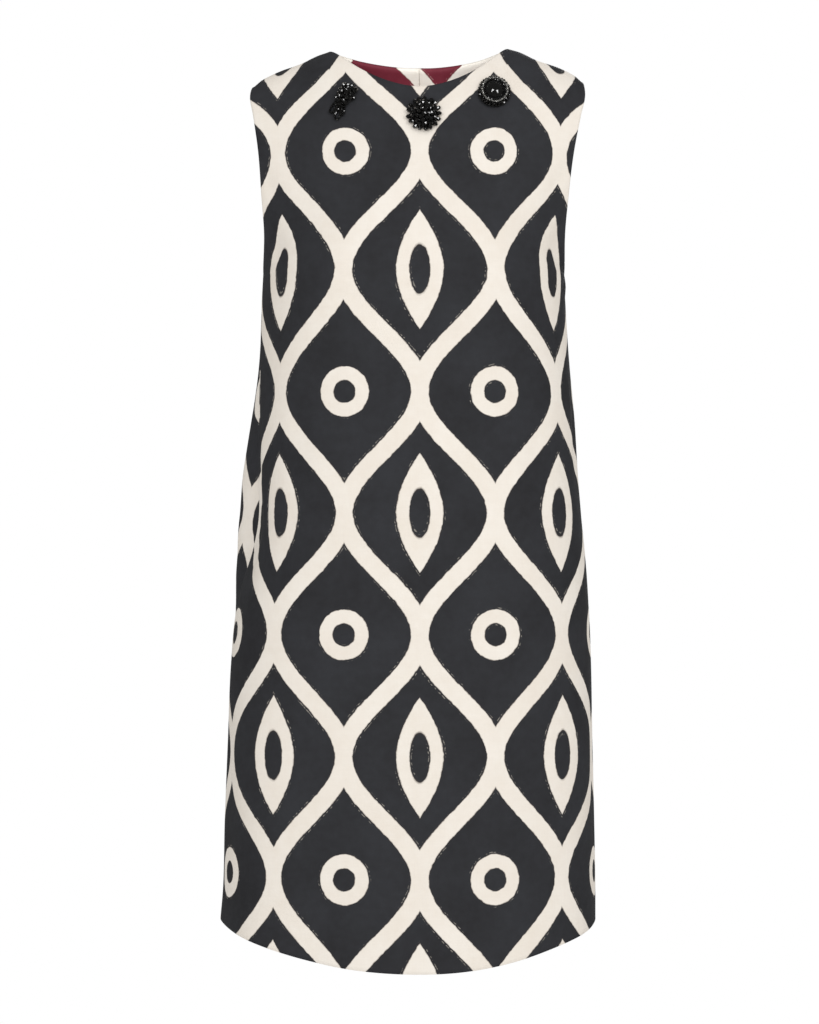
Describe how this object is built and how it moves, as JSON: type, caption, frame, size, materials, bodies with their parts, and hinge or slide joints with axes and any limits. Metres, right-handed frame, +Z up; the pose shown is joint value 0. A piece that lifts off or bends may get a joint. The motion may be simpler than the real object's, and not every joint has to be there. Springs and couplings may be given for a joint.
{
  "type": "shift dress",
  "caption": "Sleeveless A-line shift dress in printed cloth, filled out as worn and hollow, with beaded ornaments at the neck and a zip at the back.",
  "frame": {"origin": "between the shoulder seams, level with the neck points, where the wearer's shoulders hold the dress", "axes": "+Z up, -Y the way the front faces, +X the wearer's left"},
  "size_m": [0.3743, 0.265, 0.9074],
  "materials": {
    "printed_cloth": "smooth matt woven cloth, printed charcoal and ivory",
    "neck_lining": "smooth lining cloth, printed burgundy and ivory",
    "zip_tape": "woven polyester tape",
    "zip_metal": "dark lacquered metal",
    "jet_beads": "faceted jet-black glossy beads"
  },
  "bodies": {
    "dress": {"front": "printed_cloth", "back_left": "printed_cloth", "back_right": "printed_cloth", "back_neck_lining_left": "neck_lining", "back_neck_lining_right": "neck_lining", "zip_tape": "zip_tape", "zip_slider": "zip_metal", "beads_left": "jet_beads", "beads_centre": "jet_beads", "beads_right": "jet_beads"},
    "pull": {"zip_pull": "zip_metal"}
  },
  "joints": [
    {"name": "pull_swing", "type": "hinge", "parent": "dress", "child": "pull", "pos_m": [0, 0.06875, -0.01907], "axis": [1, 0, 0], "range_deg": [0, 150]}
  ]
}
